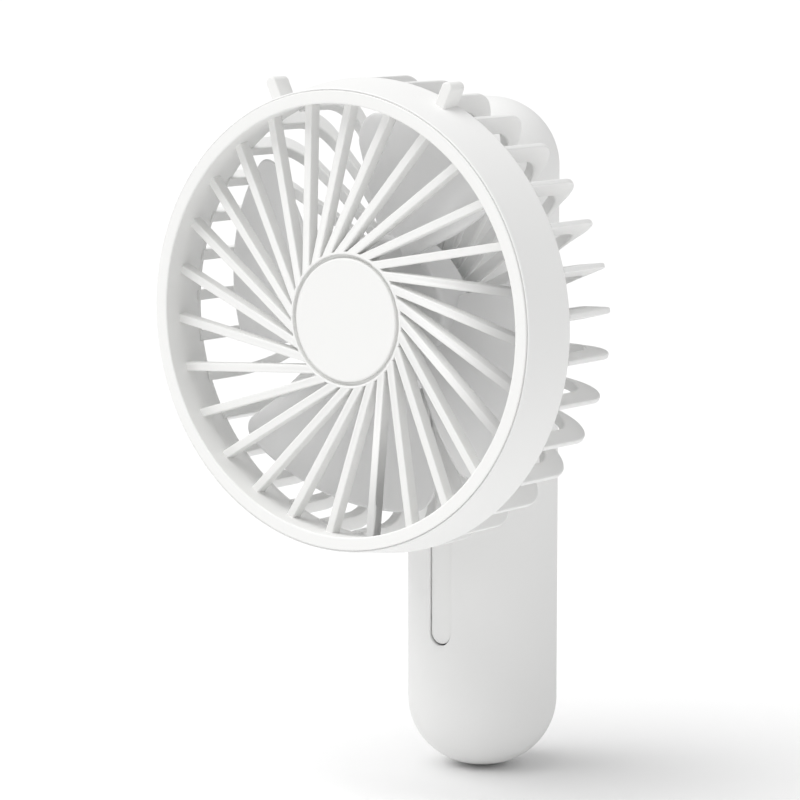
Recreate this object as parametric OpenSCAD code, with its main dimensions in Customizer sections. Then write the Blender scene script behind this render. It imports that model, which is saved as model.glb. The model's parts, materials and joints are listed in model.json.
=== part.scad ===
// Handheld folding fan: a capsule handle with a round fan head on a fold arm.
// Frame: +Z is the handle's axis, pointing up, and the fan blows towards -Y.
// The origin is on the handle's axis, 1 mm below the level of the fold hinge.

/* [Handle] */
// Outer diameter of the capsule handle
handle_d = 31; // [30.8:0.1:31.4]
// Height of the handle's top end above the origin
handle_top = 109.4; // [108:0.2:114]
// Depth of the handle's bottom end below the origin
handle_bottom = 29.6; // [29:0.2:34]
// Rounding radius of the handle's ends
end_round = 14.3; // [13.5:0.1:15]
// Wall thickness of the handle
wall = 1.8; // [1.6:0.1:1.8]
// Width of the removable cover in the handle's back
cover_w = 19; // [18:0.5:20]

/* [Fold hinge] */
// Width of the slot that the fold arm lies in
slot_w = 5.2; // [5.1:0.1:5.3]
// Width of the fold arm
arm_w = 4.8; // [4.4:0.1:4.8]
// Thickness of the fold arm
arm_t = 3.6; // [3.4:0.1:3.6]
// Depth of the folded arm's face below the handle's surface
arm_recess = 0.6; // [0.5:0.1:0.7]
// Radius of the hinge pin
pin_r = 0.8; // [0.7:0.05:0.85]
// How far the arm's rounded end reaches below the pin
toe_drop = 3.2; // [3.15:0.05:3.3]

/* [Fan head] */
// Height of the fan's axis above the origin
head_z = 67.5; // [66.5:0.5:68]
// Depth of the head from its front face to the back of its centre plate
head_depth = 31; // [31:0.5:32]
// Outer radius of the duct at its front
duct_front_r = 45.3; // [45.2:0.1:45.6]
// Outer radius of the duct at its back
duct_back_r = 47.1; // [46.8:0.1:47.4]
// Length of the duct along the fan's axis
duct_len = 12; // [11.8:0.2:12.4]
// Inner radius of the front ring
mouth_r = 42.3; // [42:0.1:42.5]

/* [Front guard] */
// Number of straight ribs in the front guard
rib_count = 27; // [20:1:28]
// Width of a front rib
rib_w = 1.7; // [1.3:0.1:1.8]
// Depth of a front rib along the fan's axis
rib_depth = 2.7; // [2.4:0.1:2.8]
// Distance by which each rib's centre line misses the fan's axis
rib_offset = 9.7; // [8:0.1:10]
// Radius of the plain cap in the middle of the guard
cap_r = 12.15; // [12:0.05:12.3]

/* [Rear guard] */
// Number of curved fins in the rear guard
fin_count = 33; // [24:1:34]
// Thickness of a rear fin
fin_t = 1.7; // [1.2:0.1:1.9]

/* [Impeller] */
// Number of blades
blade_count = 4; // [3:1:5]
// Radius of the blade tips
blade_tip_r = 40; // [39:0.5:40.5]
// Radius of the impeller's hub
hub_r = 15.7; // [15.6:0.1:16]
// Angle that one blade covers around the axis, in degrees
blade_span = 66; // [50:1:70]
// Radius of the motor shaft
shaft_r = 1; // [0.9:0.05:1]

/* [Battery] */
// Diameter of the battery cell
cell_d = 18.4; // [18:0.1:18.4]
// Length of the battery cell
cell_len = 65; // [64:0.5:65]

/* [Hidden] */

$fn = 64;

shell_white = [0.90, 0.90, 0.89];
blade_white = [0.86, 0.86, 0.86];
steel = [0.72, 0.73, 0.75];
copper = [0.72, 0.42, 0.22];
brass = [0.80, 0.66, 0.36];
board_green = [0.10, 0.35, 0.22];
dark_plastic = [0.12, 0.12, 0.13];
wrap_blue = [0.16, 0.33, 0.55];

eps = 0.01;                                     // small overshoot that keeps cuts clean
seam = 0.15;                                    // gap between parts that clip together
run_gap = 0.03;                                 // radial clearance of a running fit

// Handle
handle_r = handle_d / 2;
inner_r = handle_r - wall;
cover_z0 = -handle_bottom + end_round + 1;      // lower and upper ends of the back cover
cover_z1 = handle_top - end_round - 1;
cover_screw_z = [cover_z0 + 2.5, cover_z1 - 2.5];
crossbar_y = 8;                                 // front and back faces of the screw crossbars
crossbar_back = 11.3;
crossbar_h = 4.4;

// Fold arm, folded: its hinge axis is in the middle of its thickness
arm_face_y = -handle_r + arm_recess;
pin_y = arm_face_y + arm_t / 2;
pin_z = 1;
pin_len = 7.8;
bush_r = 1.25;
toe_gap = 0.3;                                  // gap round the arm's lower end
toe_r = sqrt(toe_drop * toe_drop + arm_t * arm_t / 4);
toe_room = 0.05;                                // clearance of the hollow that the end swings in
slot_end_z = pin_z + slot_w / 2 - toe_drop - toe_gap;   // centre of the slot's round lower end
arm_top_z = head_z + 7;
neck_gap = 4.5;                                 // free space between the handle and the head
neck_plate_r = 8;
neck_plate_t = 3.7;
neck_w = arm_w - 0.4;                           // bar that joins the plate to the arm's face
neck_h = 7;
arm_screw_ring = 5.4;                           // radius of the circle that the arm's screws lie on

// Bridge that holds the hinge pin from behind
pad_w = 12;
pad_z0 = -6;
pad_z1 = 7;
bridge_w = 11;
bridge_h = 10;
bridge_front = pin_y + toe_r + 0.4;             // inner face of the bridge, clear of the arm's end
bridge_back = bridge_front + 1.3;
bridge_screw_x = 4.2;
bridge_screw_z = 3;

// Battery and electronics
cell_y = -0.2;
cell_z = 23;                                    // lower end of the cell
tab_t = 0.3;
cradle_wall = 1.2;
board_back = 8.4;                               // face of the main board that carries its parts
board_t = 1;
board_w = 16;
board_z0 = -8.8;
board_z1 = 20;
board_screw_x = 6.3;
board_screw_z = 18;
button_z = 12;
button_r = 5;
button_proud = 0.5;
button_travel = 0.6;
switch_h = 1.8;
plunger_r = 1.1;
stem_y = board_back + switch_h + button_travel + 0.2;   // where the button meets the plunger
flange_y = board_back + 3.1;                    // inner face of the button's flange
lens_z = 3;
lens_r = 1;
usb_z = -3.5;
usb_w = 8.9;
usb_h = 3.2;

// Depths along the fan's axis, measured back from the front face
front_y = -(handle_r + neck_gap + head_depth);  // plane of the front face
ring_depth = 3.2;
ring_r = duct_front_r - 0.5;
sleeve_r = mouth_r + 1.55;                      // sleeve that carries the ribs inside the duct
sleeve_back = 7.4;
sleeve_back_r = mouth_r + 0.97;                 // inner radius at the sleeve's back
cap_front = 3.45;
cap_t = 1.5;
groove_r = cap_r + 0.8;                         // groove round the cap
guard_hub_r = groove_r + 0.5;
guard_hub_t = 3.75;
rib_front = 4;
bar_front = head_depth - 3.2;                   // front of the fins' rear bars
plate_front = head_depth - 3.5;                 // front of the rear centre plate
plate_r = 13;
fin_r = duct_back_r - 0.1;
base_ring_t = 1.2;

// A fin's centre line follows an arc that runs past the axis
fin_arc_r = 80;
fin_arc_u = 24;
fin_arc_v = 2.5;
fin_phase = 57.85;
rib_phase = 90.1;
foot_angle = 25;                                // each foot's angle from straight up
foot_w = 2.4;
foot_top_r = 51;
foot_root_r = 45;
foot_front = 7.4;

// Impeller and motor
hub_front = 14.4;
hub_back = 23.6;
hub_skin = 1.4;
blade_phase = 37.5;
blade_front = 10;
blade_rise = 10.5;                              // how far a blade leans back across its span
blade_t = 1.1;
blade_root_r = hub_r - 0.8;
blade_rows = 7;
blade_cols = 20;
front_corner = 4;                               // rounding of a blade's two tip corners
back_corner = 7;
yoke_r = hub_r - hub_skin;
magnet_r = yoke_r - 0.9;
magnet_t = 1.3;
stator_r = magnet_r - magnet_t - 0.4;
stator_front = 18;
stator_back = 22;
slot_count = 9;
tube_r = 2.9;
tube_inner_r = 1.9;
tube_front = 17.4;
tube_back = 29.2;
boss_r = 5;
boss_front = 25.2;

// Place children in the head's frame, where z is the depth behind the front face.
module at_head() {
    translate([0, front_y, head_z]) rotate([-90, 0, 0]) children();
}

// Turn children to an angle seen from the front, counter-clockwise from +X.
module at_angle(a) {
    rotate([0, 0, -a]) children();
}

// A ring between two radii, from depth d0 to depth d1.
module ring(ro, ri, d0, d1) {
    translate([0, 0, d0]) difference() {
        cylinder(r = ro, h = d1 - d0);
        translate([0, 0, -eps]) cylinder(r = ri, h = d1 - d0 + 2 * eps);
    }
}

// A cylinder along Y, from y0 to y1.
module rod_y(r, y0, y1) {
    translate([0, y0, 0]) rotate([-90, 0, 0]) cylinder(r = r, h = y1 - y0);
}

// A capsule about Z with rounded ends: radius r, end rounding q, from z0 to z1.
module capsule(r, q, z0, z1) {
    rotate_extrude($fn = 128) intersection() {
        union() {
            translate([0, z0 + q]) square([r, z1 - z0 - 2 * q]);
            translate([0, z0]) square([r - q, z1 - z0]);
            translate([r - q, z0 + q]) circle(r = q, $fn = 128);
            translate([r - q, z1 - q]) circle(r = q, $fn = 128);
        }
        translate([0, z0]) square([r, z1 - z0]);
    }
}

// A flat-headed screw: the top of its head is at the origin and it points along -Z.
module screw(d, len, head_d, head_h) {
    translate([0, 0, -head_h]) cylinder(d = head_d, h = head_h, $fn = 32);
    translate([0, 0, -len]) cylinder(d = d, h = len - head_h + eps, $fn = 32);
}

// ---- Handle ----

// Slot in the handle's front, from its round lower end to just above the arm's top, with a
// round hollow about the hinge pin that the arm's end turns in.
module arm_slot() {
    intersection() {
        translate([0, pin_y, pin_z]) sphere(r = toe_r + toe_room);
        translate([-handle_r, pin_y - 1.25, pin_z - handle_r]) cube([handle_d, handle_r, handle_d]);
    }
    translate([0, pin_y + 1, 0]) rotate([90, 0, 0]) linear_extrude(12) union() {
        translate([0, slot_end_z]) circle(d = slot_w);
        translate([-slot_w / 2, slot_end_z]) square([slot_w, arm_top_z - slot_end_z]);
        translate([0, arm_top_z]) circle(d = slot_w);
    }
}

// Opening in the handle's back, made smaller by the gap g on every side.
module cover_opening(g) {
    translate([-cover_w / 2 + g, crossbar_back, cover_z0 + g])
        cube([cover_w - 2 * g, handle_r, cover_z1 - cover_z0 - 2 * g]);
}

module pin_groove(len) {
    translate([0, pin_y, pin_z]) rotate([0, 90, 0])
        cylinder(r = pin_r, h = len, center = true, $fn = 48);
}

module bridge_screw_places() {
    for (s = [-1, 1]) translate([s * bridge_screw_x, 0, pin_z + s * bridge_screw_z]) children();
}

module handle_shell() {
    color(shell_white) difference() {
        union() {
            difference() {
                capsule(handle_r, end_round, -handle_bottom, handle_top);
                capsule(inner_r, end_round - wall, wall - handle_bottom, handle_top - wall);
                cover_opening(0);
            }
            // Pad that carries the hinge pin, and crossbars for the cover's screws
            intersection() {
                cylinder(r = inner_r + wall / 2, h = 2 * handle_top, center = true);
                union() {
                    translate([-pad_w / 2, -handle_r, pad_z0])
                        cube([pad_w, handle_r + pin_y, pad_z1 - pad_z0]);
                    for (z = cover_screw_z) translate([-handle_r, crossbar_y, z - crossbar_h / 2])
                        cube([handle_d, crossbar_back - crossbar_y, crossbar_h]);
                }
            }
        }
        arm_slot();
        pin_groove(pin_len + 0.2);
        bridge_screw_places() rod_y(0.7, -14.4, pin_y + 1);
        for (z = cover_screw_z) translate([0, 0, z]) rod_y(0.8, crossbar_y - eps, crossbar_back + eps);
    }
}

module back_cover() {
    color(shell_white) difference() {
        union() {
            intersection() {
                difference() {
                    capsule(handle_r, end_round, -handle_bottom, handle_top);
                    capsule(inner_r, end_round - wall, wall - handle_bottom, handle_top - wall);
                }
                cover_opening(seam);
            }
            // Posts for the screws and for the main board
            intersection() {
                cylinder(r = inner_r + wall / 2, h = 2 * handle_top, center = true);
                union() {
                    for (z = cover_screw_z) translate([0, 0, z]) rod_y(2.2, crossbar_back, handle_r);
                    for (s = [-1, 1]) translate([s * board_screw_x, 0, board_screw_z])
                        rod_y(1.6, board_back, handle_r);
                }
            }
        }
        for (z = cover_screw_z) translate([0, 0, z]) {
            rod_y(0.8, crossbar_y, handle_d);
            rod_y(1.7, handle_r - 1.4, handle_d);
        }
        for (s = [-1, 1]) translate([s * board_screw_x, 0, board_screw_z])
            rod_y(0.6, board_back - eps, board_back + 3);
        translate([0, 0, button_z]) rod_y(button_r + 0.2, crossbar_y, handle_d);
        translate([0, 0, lens_z]) rod_y(lens_r, crossbar_y, handle_d);
        translate([-usb_w / 2 - seam, crossbar_y, usb_z - usb_h / 2 - seam])
            cube([usb_w + 2 * seam, handle_r, usb_h + 2 * seam]);
    }
}

module cover_screws() {
    color(steel) for (z = cover_screw_z)
        translate([0, handle_r - 0.5, z]) rotate([-90, 0, 0]) screw(1.6, 6, 3.3, 0.9);
}

module arm_tray() {
    color(shell_white) difference() {
        translate([-3.5, pin_y + 0.2, 8]) cube([7, 3, arm_top_z - 4.5]);
        translate([-2.7, pin_y, 8 - eps]) cube([5.4, 2.4, arm_top_z - 5.3]);
    }
}

module hinge_bridge() {
    color(dark_plastic) difference() {
        intersection() {
            translate([-bridge_w / 2, pin_y, pin_z - bridge_h / 2])
                cube([bridge_w, bridge_back - pin_y, bridge_h]);
            cylinder(r = inner_r - 0.1, h = 2 * bridge_h, center = true);
        }
        translate([-slot_w / 2 - 0.1, pin_y - 1, -bridge_h])
            cube([slot_w + 0.2, bridge_front - pin_y + 1, 2 * bridge_h]);
        pin_groove(pin_len + 0.2);
        bridge_screw_places() rod_y(0.7, pin_y - eps, bridge_back + eps);
    }
}

module bridge_screws() {
    color(steel) bridge_screw_places()
        translate([0, bridge_back + 0.7, 0]) rotate([-90, 0, 0]) screw(1.4, 7, 2.4, 0.7);
}

module hinge_pin() {
    color(steel) pin_groove(pin_len);
}

module battery_cell() {
    color(wrap_blue) translate([0, cell_y, cell_z]) cylinder(d = cell_d, h = cell_len);
}

module battery_tabs() {
    color(steel) for (z = [cell_z - tab_t, cell_z + cell_len])
        translate([0, cell_y, z]) cylinder(r = 4, h = tab_t);
}

// Two open collars and two side rails that hold the cell, with a stop at each end.
module battery_cradle() {
    stop_gap = tab_t + 0.1;
    cradle_r = cell_d / 2 + 0.1 + cradle_wall;
    z0 = cell_z - stop_gap - cradle_wall;
    z1 = cell_z + cell_len + stop_gap + cradle_wall;
    color(dark_plastic) intersection() {
        translate([-20, pin_y + 3.4, z0]) cube([40, crossbar_y - 0.2 - pin_y - 3.4, z1 - z0]);
        difference() {
            translate([0, cell_y, 0]) union() {
                translate([0, 0, z0]) cylinder(r = cradle_r, h = 7);
                translate([0, 0, z1 - 7]) cylinder(r = cradle_r, h = 7);
                translate([-cradle_r - 0.5, -2.5, z0]) cube([2 * cradle_r + 1, 5, z1 - z0]);
            }
            translate([0, cell_y, z0 + cradle_wall])
                cylinder(d = cell_d + 0.2, h = z1 - z0 - 2 * cradle_wall);
        }
    }
}

module main_board() {
    color(board_green) difference() {
        translate([-board_w / 2, board_back - board_t, board_z0])
            cube([board_w, board_t, board_z1 - board_z0]);
        for (s = [-1, 1]) translate([s * board_screw_x, 0, board_screw_z])
            rod_y(0.6, board_back - 2, board_back + 1);
    }
}

module board_screws() {
    color(steel) for (s = [-1, 1]) translate([s * board_screw_x, board_back - board_t - 0.6, board_screw_z])
        rotate([90, 0, 0]) screw(1.2, 3.8, 2.2, 0.6);
}

// Charging socket: a flat metal shell with an open mouth and a thin tongue.
module usb_socket() {
    depth = handle_r - 0.9 - board_back;
    color(steel) translate([0, board_back, usb_z]) rotate([-90, 0, 0]) difference() {
        linear_extrude(depth) stadium(usb_w, usb_h);
        translate([0, 0, 1]) linear_extrude(depth) difference() {
            stadium(usb_w - 0.6, usb_h - 0.6);
            square([6.6, 0.7], center = true);
        }
    }
}

// A flat outline with round ends, w long and h high.
module stadium(w, h) {
    square([w - h, h], center = true);
    for (s = [-1, 1]) translate([s * (w - h) / 2, 0]) circle(d = h, $fn = 32);
}

module button_switch() {
    color(dark_plastic) translate([0, 0, button_z]) difference() {
        translate([-2.6, board_back, -2.6]) cube([5.2, switch_h, 5.2]);
        rod_y(plunger_r + 0.1, board_back + 0.5, board_back + switch_h + eps);
    }
}

// Plunger that the power button pushes down into the switch.
module switch_plunger() {
    color(shell_white) translate([0, 0, button_z])
        rod_y(plunger_r, board_back + 0.5 + button_travel + 0.1, stem_y);
}

module status_lens() {
    color("white") translate([0, 0, lens_z]) intersection() {
        rod_y(lens_r, board_back, handle_r);
        translate([0, 0, -lens_z]) cylinder(r = handle_r - 0.05, h = 20, center = true);
    }
}

// Round button whose cap follows the handle's curve and stands a little proud of it.
module power_button() {
    color(shell_white) translate([0, 0, button_z]) {
        intersection() {
            rod_y(button_r, flange_y, handle_r + 2);
            cylinder(r = handle_r + button_proud, h = 3 * button_r, center = true);
        }
        rod_y(button_r + 1, flange_y, flange_y + 0.6);
        rod_y(1.6, stem_y, flange_y + eps);
    }
}

// ---- Head ----

module feet_shape() {
    for (s = [-1, 1]) at_angle(90 + s * foot_angle) {
        translate([foot_root_r, -foot_w / 2, foot_front])
            cube([foot_top_r - foot_w / 2 - foot_root_r, foot_w, duct_len - foot_front]);
        translate([foot_top_r - foot_w / 2, 0, foot_front])
            cylinder(d = foot_w, h = duct_len - foot_front, $fn = 32);
    }
}

module duct_ring() {
    lip_r = ring_r + seam;
    back_inner_r = duct_back_r - 3.2;
    color(shell_white) at_head() difference() {
        rotate_extrude($fn = 160) polygon([
            [lip_r, 0.3], [duct_front_r - 0.1, 0.3], [duct_front_r, 0.5], [duct_back_r, duct_len],
            [back_inner_r, duct_len], [sleeve_back_r, sleeve_back + 0.05],
            [sleeve_r + 0.05, sleeve_back + 0.05], [sleeve_r + 0.05, ring_depth + 0.05],
            [lip_r, ring_depth + 0.05]]);
        feet_shape();
    }
}

module stand_feet() {
    color(shell_white) at_head() feet_shape();
}

module front_guard() {
    rib_edge = rib_offset + rib_w / 2;
    x0 = sqrt(pow(groove_r - 0.3, 2) - pow(rib_edge, 2));
    x1 = sqrt(pow(sleeve_r - 0.1, 2) - pow(rib_edge, 2));
    color(shell_white) at_head() difference() {
        union() {
            rotate_extrude($fn = 160) polygon([
                [mouth_r, 0], [ring_r, 0], [ring_r, ring_depth], [sleeve_r, ring_depth],
                [sleeve_r, sleeve_back], [sleeve_back_r, sleeve_back]]);
            for (i = [0:rib_count - 1]) at_angle(rib_phase - i * 360 / rib_count)
                translate([x0, -rib_edge, rib_front]) cube([x1 - x0, rib_w, rib_depth]);
            translate([0, 0, cap_front]) cylinder(r = guard_hub_r, h = guard_hub_t);
        }
        translate([0, 0, -eps]) cylinder(r = groove_r, h = cap_front + cap_t + 0.05);
    }
}

module front_cap() {
    color(shell_white) at_head() translate([0, 0, cap_front]) cylinder(r = cap_r - 0.03, h = cap_t);
}

// Region swept by a fin's side profile about the fan's axis.
module fin_band() {
    corner = 7;
    band = 3.6;
    inner_r0 = fin_r - band;
    inner_corner = 7;
    rotate_extrude($fn = 160) difference() {
        union() {
            translate([0, duct_len]) square([fin_r, head_depth - corner - duct_len]);
            translate([0, duct_len]) square([fin_r - corner, head_depth - duct_len]);
            translate([fin_r - corner, head_depth - corner]) circle(r = corner);
        }
        translate([-1, duct_len - 1]) square([inner_r0 + 1, bar_front - inner_corner - duct_len + 1]);
        translate([-1, duct_len - 1]) square([inner_r0 - inner_corner + 1, bar_front - duct_len + 1]);
        translate([inner_r0 - inner_corner, bar_front - inner_corner]) circle(r = inner_corner);
        translate([-50, -1]) square([50, 60]);
    }
}

// Curved wall that one fin is cut from: a slice of a large tube beside the fan's axis.
module fin_slice() {
    translate([fin_arc_u, fin_arc_v - fin_arc_r, duct_len]) intersection() {
        difference() {
            cylinder(r = fin_arc_r + fin_t / 2, h = head_depth, $fn = 160);
            translate([0, 0, -1]) cylinder(r = fin_arc_r - fin_t / 2, h = head_depth + 2, $fn = 160);
        }
        translate([plate_r - 0.5 - fin_arc_u, fin_arc_r / 2, 0]) cube([40, fin_arc_r, head_depth]);
    }
}

module rear_guard() {
    color(shell_white) at_head() difference() {
        union() {
            intersection() {
                fin_band();
                for (i = [0:fin_count - 1]) at_angle(fin_phase - i * 360 / fin_count) fin_slice();
            }
            ring(fin_r - 1.2, fin_r - 3, duct_len, duct_len + base_ring_t);
            translate([0, 0, plate_front]) cylinder(r = plate_r, h = head_depth - plate_front);
            translate([0, 0, boss_front]) cylinder(r = boss_r, h = plate_front - boss_front + eps);
        }
        translate([0, 0, boss_front - 1]) cylinder(r = tube_r, h = tube_back + 2 - boss_front);
        arm_screw_places() cylinder(r = 0.8, h = head_depth, $fn = 32);
    }
}

module arm_screw_places() {
    for (a = [30, 150, 270]) at_angle(a) translate([arm_screw_ring, 0, plate_front + 0.5]) children();
}

// Fold arm: a bar with round ends, and a round plate behind the head.
module fold_arm() {
    toe_z = pin_z + arm_w / 2 - toe_drop;
    color(shell_white) difference() {
        union() {
            translate([0, pin_y + arm_t / 2, 0]) rotate([90, 0, 0]) linear_extrude(arm_t) union() {
                translate([0, toe_z]) circle(d = arm_w);
                translate([-arm_w / 2, toe_z]) square([arm_w, arm_top_z - arm_w / 2 - toe_z]);
                translate([0, arm_top_z - arm_w / 2]) circle(d = arm_w);
            }
            translate([-neck_w / 2, -handle_r - neck_gap + 1, head_z - neck_h / 2])
                cube([neck_w, neck_gap + arm_recess, neck_h]);
            at_head() translate([0, 0, head_depth]) cylinder(r = neck_plate_r, h = neck_plate_t);
        }
        translate([0, pin_y, pin_z]) rotate([0, 90, 0])
            cylinder(r = bush_r, h = arm_w + 2, center = true);
        lead_groove();
        at_head() arm_screw_places() {
            cylinder(r = 0.8, h = head_depth, $fn = 32);
            translate([0, 0, head_depth + 2.6 - plate_front - 0.5]) cylinder(r = 1.6, h = 10, $fn = 32);
        }
    }
}

// Groove in the arm's back that carries the motor's leads up to the head.
module lead_groove() {
    translate([-1.1, pin_y + arm_t / 2 - 1.1, 5]) cube([2.2, 1.2, head_z - 4]);
    translate([0, 0, head_z]) rod_y(1.3, -handle_r - neck_gap - 1, pin_y + arm_t / 2 + 1);
}

module motor_leads() {
    color("firebrick") for (s = [-1, 1]) translate([s * 0.5, 0, 0]) {
        translate([0, pin_y + arm_t / 2 - 0.6, 6]) cylinder(r = 0.4, h = head_z - 6, $fn = 24);
        translate([0, 0, head_z]) rod_y(0.4, -handle_r - neck_gap, pin_y + arm_t / 2 - 0.6);
    }
}

module arm_bush() {
    color(brass) translate([0, pin_y, pin_z]) rotate([0, 90, 0])
        translate([0, 0, -arm_w / 2 + 0.1]) ring(bush_r, pin_r + run_gap, 0, arm_w - 0.2);
}

module arm_screws() {
    color(steel) at_head() arm_screw_places()
        translate([0, 0, head_depth + 3.4 - plate_front - 0.5]) screw(1.6, 6, 3, 0.8);
}

module motor_board() {
    color(board_green) at_head() ring(stator_r - 0.5, tube_r, boss_front - 0.8, boss_front);
}

module bearing_tube() {
    color(brass) at_head() ring(tube_r, tube_inner_r, tube_front, tube_back);
}

module shaft_bearings() {
    color(steel) at_head() {
        ring(tube_inner_r, shaft_r + run_gap, tube_front + 0.1, tube_front + 2.1);
        ring(tube_inner_r, shaft_r + run_gap, tube_back - 2.1, tube_back - 0.1);
    }
}

// Iron core: a ring on the bearing tube, a spoke for each coil and a curved shoe on each spoke.
module stator_core() {
    shoe_t = 1.2;
    color(steel) at_head() translate([0, 0, stator_front]) linear_extrude(stator_back - stator_front)
        difference() {
            union() {
                circle(r = tube_r + 1.8);
                for (i = [0:slot_count - 1]) rotate(i * 360 / slot_count)
                    translate([0, -0.8]) square([stator_r - 0.4, 1.6]);
                difference() {
                    circle(r = stator_r);
                    circle(r = stator_r - shoe_t);
                    for (i = [0:slot_count - 1]) rotate((i + 0.5) * 360 / slot_count)
                        translate([0, -0.6]) square([stator_r + 1, 1.2]);
                }
            }
            circle(r = tube_r);
        }
}

module stator_coils() {
    color(copper) at_head() for (i = [0:slot_count - 1]) rotate([0, 0, i * 360 / slot_count])
        translate([tube_r + 2.5, 0, 0]) difference() {
            translate([0, -1.6, stator_front - 0.7])
                cube([stator_r - tube_r - 4.6, 3.2, stator_back - stator_front + 1.4]);
            translate([-1, -0.82, stator_front - 0.02])
                cube([stator_r, 1.64, stator_back - stator_front + 0.04]);
        }
}

// ---- Impeller ----

// How far a corner of radius q draws the outline in, at the distance s from the blade's edge.
function corner_drop(s, q) = s < q ? q - sqrt(q * q - (q - s) * (q - s)) : 0;

// Radius of a blade's tip at the share v of its span, with a rounded corner at each end.
function blade_reach(v) =
    let (arc = blade_span * PI / 180 * blade_tip_r)
    blade_tip_r - corner_drop(v * arc, front_corner) - corner_drop((1 - v) * arc, back_corner);

// Point on a blade at share u of its reach and share v of its span; w shifts it along the axis.
// The front edge bends back towards the hub, and the blade leans back across its span.
function blade_point(u, v, w) =
    let (r = blade_root_r + u * (blade_reach(v) - blade_root_r),
         a = -(v * blade_span + 14 * pow(1 - u, 2.5) * (1 - v)))
    [r * cos(a), r * sin(a), blade_front + blade_rise * (v + 0.1 * sin(180 * v)) + w];

// Share of the span at one column of points, closer together near both edges.
function column_share(j) = (1 - cos(180 * j / blade_cols)) / 2;

module blade() {
    layer = (blade_rows + 1) * (blade_cols + 1);
    points = [for (w = [0, blade_t]) for (i = [0:blade_rows]) for (j = [0:blade_cols])
        blade_point(i / blade_rows, column_share(j), w)];
    function at(k, i, j) = k * layer + i * (blade_cols + 1) + j;
    skins = [for (i = [0:blade_rows - 1]) for (j = [0:blade_cols - 1]) each [
        [at(0, i, j), at(0, i, j + 1), at(0, i + 1, j + 1)],
        [at(0, i, j), at(0, i + 1, j + 1), at(0, i + 1, j)],
        [at(1, i, j), at(1, i + 1, j + 1), at(1, i, j + 1)],
        [at(1, i, j), at(1, i + 1, j), at(1, i + 1, j + 1)]]];
    spans = [for (j = [0:blade_cols - 1]) each [
        [at(0, 0, j), at(1, 0, j), at(1, 0, j + 1)], [at(0, 0, j), at(1, 0, j + 1), at(0, 0, j + 1)],
        [at(0, blade_rows, j), at(1, blade_rows, j + 1), at(1, blade_rows, j)],
        [at(0, blade_rows, j), at(0, blade_rows, j + 1), at(1, blade_rows, j + 1)]]];
    edges = [for (i = [0:blade_rows - 1]) each [
        [at(0, i, 0), at(1, i + 1, 0), at(1, i, 0)], [at(0, i, 0), at(0, i + 1, 0), at(1, i + 1, 0)],
        [at(0, i, blade_cols), at(1, i, blade_cols), at(1, i + 1, blade_cols)],
        [at(0, i, blade_cols), at(1, i + 1, blade_cols), at(0, i + 1, blade_cols)]]];
    polyhedron(points = points, faces = concat(skins, spans, edges));
}

module impeller() {
    color(blade_white) at_head() {
        for (i = [0:blade_count - 1]) at_angle(blade_phase + i * 360 / blade_count) blade();
        difference() {
            translate([0, 0, hub_front]) cylinder(r = hub_r, h = hub_back - hub_front, $fn = 128);
            translate([0, 0, hub_front + hub_skin]) cylinder(r = yoke_r, h = hub_back, $fn = 128);
            translate([0, 0, hub_front + 0.6]) cylinder(r = shaft_r, h = 5, $fn = 32);
        }
    }
}

module rotor_cup() {
    cup_front = hub_front + hub_skin;
    color(steel) at_head() difference() {
        translate([0, 0, cup_front]) cylinder(r = yoke_r, h = hub_back - 0.3 - cup_front);
        translate([0, 0, cup_front + 0.8]) cylinder(r = magnet_r, h = hub_back);
        translate([0, 0, cup_front - 1]) cylinder(r = shaft_r, h = 5, $fn = 32);
    }
}

module rotor_magnet() {
    color(dark_plastic) at_head()
        ring(magnet_r, magnet_r - magnet_t, stator_front - 0.6, hub_back - 0.6);
}

module motor_shaft() {
    color(steel) at_head() translate([0, 0, hub_front + 0.6])
        cylinder(r = shaft_r, h = tube_back + 0.7 - hub_front - 0.6, $fn = 48);
}

module shaft_clip() {
    color(steel) at_head() ring(shaft_r + 0.7, shaft_r, tube_back + 0.15, tube_back + 0.45);
}

handle_shell();
back_cover();
cover_screws();
arm_tray();
hinge_bridge();
bridge_screws();
hinge_pin();
battery_cell();
battery_tabs();
battery_cradle();
main_board();
board_screws();
usb_socket();
button_switch();
switch_plunger();
status_lens();
power_button();
duct_ring();
front_guard();
front_cap();
stand_feet();
rear_guard();
fold_arm();
arm_bush();
arm_screws();
motor_leads();
motor_board();
bearing_tube();
shaft_bearings();
stator_core();
stator_coils();
impeller();
rotor_cup();
rotor_magnet();
motor_shaft();
shaft_clip();
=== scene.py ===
"""Looks of a handheld folding fan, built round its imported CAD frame.

Lengths inside the classes are millimetres. Points in the head are given by radius, angle and
depth: the angle is counter-clockwise from +X as seen from the front, and the depth runs back
from the plane of the front face.
"""

import json
import logging
from dataclasses import dataclass
from enum import Enum

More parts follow.
